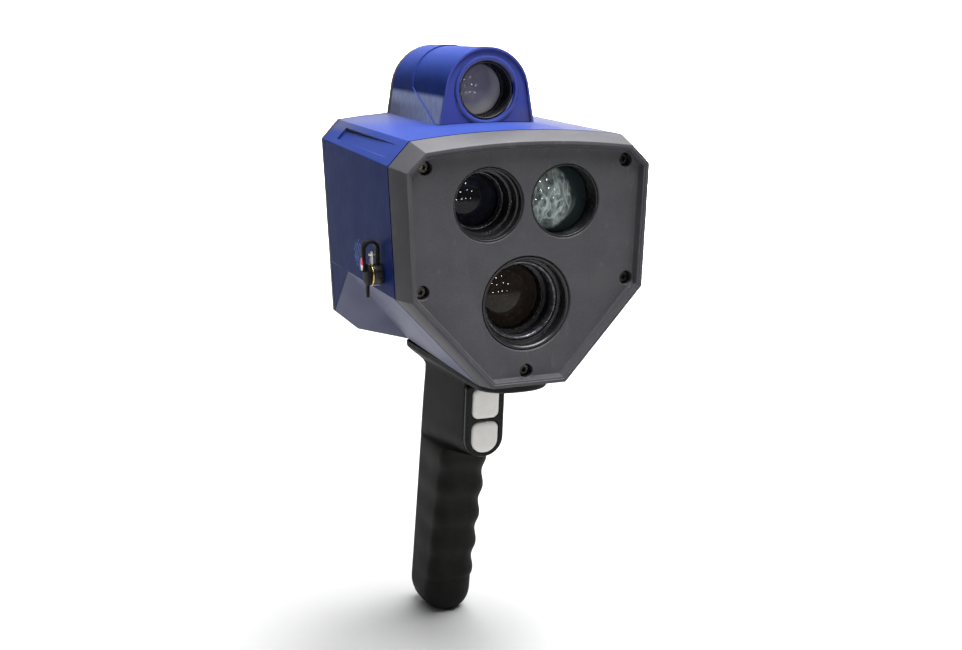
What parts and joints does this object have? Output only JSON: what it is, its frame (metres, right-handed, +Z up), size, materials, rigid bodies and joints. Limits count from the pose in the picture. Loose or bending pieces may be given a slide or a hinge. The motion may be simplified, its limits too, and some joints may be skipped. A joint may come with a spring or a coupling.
{
  "type": "handheld laser scanner",
  "caption": "Handheld laser and camera scanner: chamfered blue body, grey lens panel, sight on top, leaning black pistol grip with press buttons.",
  "frame": {"origin": "where the palm holds the grip, at its mid height on the centre plane", "axes": "+X to the right as seen from the front of the lens panel, -Y the way the lenses look, +Z up"},
  "size_m": [0.1646, 0.1665, 0.3768],
  "materials": {
    "blue_paint": "satin powder coat with a fine grain",
    "grey_plastic": "fine matte texture",
    "soft_touch_black": "soft-touch coating",
    "black_anodised": "black anodised, turned",
    "black_plastic": "smooth",
    "button_white": "off-white silicone-like plastic",
    "coated_glass": "dark anti-reflection coating",
    "clear_glass": "clear",
    "steel": "plain",
    "brass": "plain",
    "aluminium": "milled",
    "rubber": "moulded",
    "circuit_green": "solder mask",
    "display_dark": "clear hard-coated window, dark behind",
    "battery_blue": "shrink-wrapped"
  },
  "bodies": {
    "scanner": {"battery_pack": "battery_blue", "button_bezel": "black_plastic", "button_board": "circuit_green", "camera_barrel": "black_anodised", "camera_bell": "black_anodised", "camera_front_lens": "coated_glass", "camera_rear_lens": "clear_glass", "camera_ring": "black_anodised", "camera_sensor_board": "circuit_green", "cap_tether": "rubber", "cover_screw_1": "steel", "cover_screw_2": "steel", "cover_screw_3": "steel", "cover_screw_4": "steel", "cover_screw_5": "steel", "detector_board": "circuit_green", "display_module": "black_plastic", "display_window": "display_dark", "emitter_barrel": "black_anodised", "emitter_lens": "coated_glass", "emitter_ring": "black_anodised", "eyecup": "rubber", "front_cover": "grey_plastic", "front_gasket": "rubber", "grip_body": "soft_touch_black", "grip_screw_1": "steel", "grip_screw_2": "steel", "grip_screw_3": "steel", "laser_diode_module": "brass", "main_board": "circuit_green", "main_housing": "blue_paint", "optics_bench": "aluminium", "rear_cover": "grey_plastic", "rear_gasket": "rubber", "rear_screw_1": "steel", "rear_screw_2": "steel", "rear_screw_3": "steel", "rear_screw_4": "steel", "receiver_barrel": "black_anodised", "receiver_lens": "clear_glass", "receiver_ring": "black_anodised", "sight_eye_lens": "clear_glass", "sight_hood": "blue_paint", "sight_objective": "clear_glass", "sight_tube": "black_anodised", "socket_body": "black_anodised", "socket_nut": "steel", "socket_ring": "brass", "speaker": "black_plastic"},
    "upper_button": {"upper_button": "button_white"},
    "lower_button": {"lower_button": "button_white"},
    "menu_key_1": {"menu_key_1": "rubber"},
    "menu_key_2": {"menu_key_2": "rubber"},
    "menu_key_3": {"menu_key_3": "rubber"},
    "menu_key_4": {"menu_key_4": "rubber"},
    "power_key": {"power_key": "button_white"},
    "dust_cap": {"dust_cap": "rubber"}
  },
  "joints": [
    {"name": "upper_button_press", "type": "slide", "parent": "scanner", "child": "upper_button", "axis": [0, 0.9962, 0.0872], "range_m": [0, 0.0018], "stiffness_N_per_m": 1500},
    {"name": "lower_button_press", "type": "slide", "parent": "scanner", "child": "lower_button", "axis": [0, 0.9962, 0.0872], "range_m": [0, 0.0018], "stiffness_N_per_m": 1500},
    {"name": "menu_key_1_press", "type": "slide", "parent": "scanner", "child": "menu_key_1", "axis": [0, -1, 0], "range_m": [0, 0.0008], "stiffness_N_per_m": 2000},
    {"name": "menu_key_2_press", "type": "slide", "parent": "scanner", "child": "menu_key_2", "axis": [0, -1, 0], "range_m": [0, 0.0008], "stiffness_N_per_m": 2000},
    {"name": "menu_key_3_press", "type": "slide", "parent": "scanner", "child": "menu_key_3", "axis": [0, -1, 0], "range_m": [0, 0.0008], "stiffness_N_per_m": 2000},
    {"name": "menu_key_4_press", "type": "slide", "parent": "scanner", "child": "menu_key_4", "axis": [0, -1, 0], "range_m": [0, 0.0008], "stiffness_N_per_m": 2000},
    {"name": "power_key_press", "type": "slide", "parent": "scanner", "child": "power_key", "axis": [0, -1, 0], "range_m": [0, 0.0008], "stiffness_N_per_m": 2000},
    {"name": "dust_cap_pull", "type": "slide", "parent": "scanner", "child": "dust_cap", "axis": [-1, 0, 0], "range_m": [0, 0.008], "deforming": ["cap_tether"]}
  ]
}
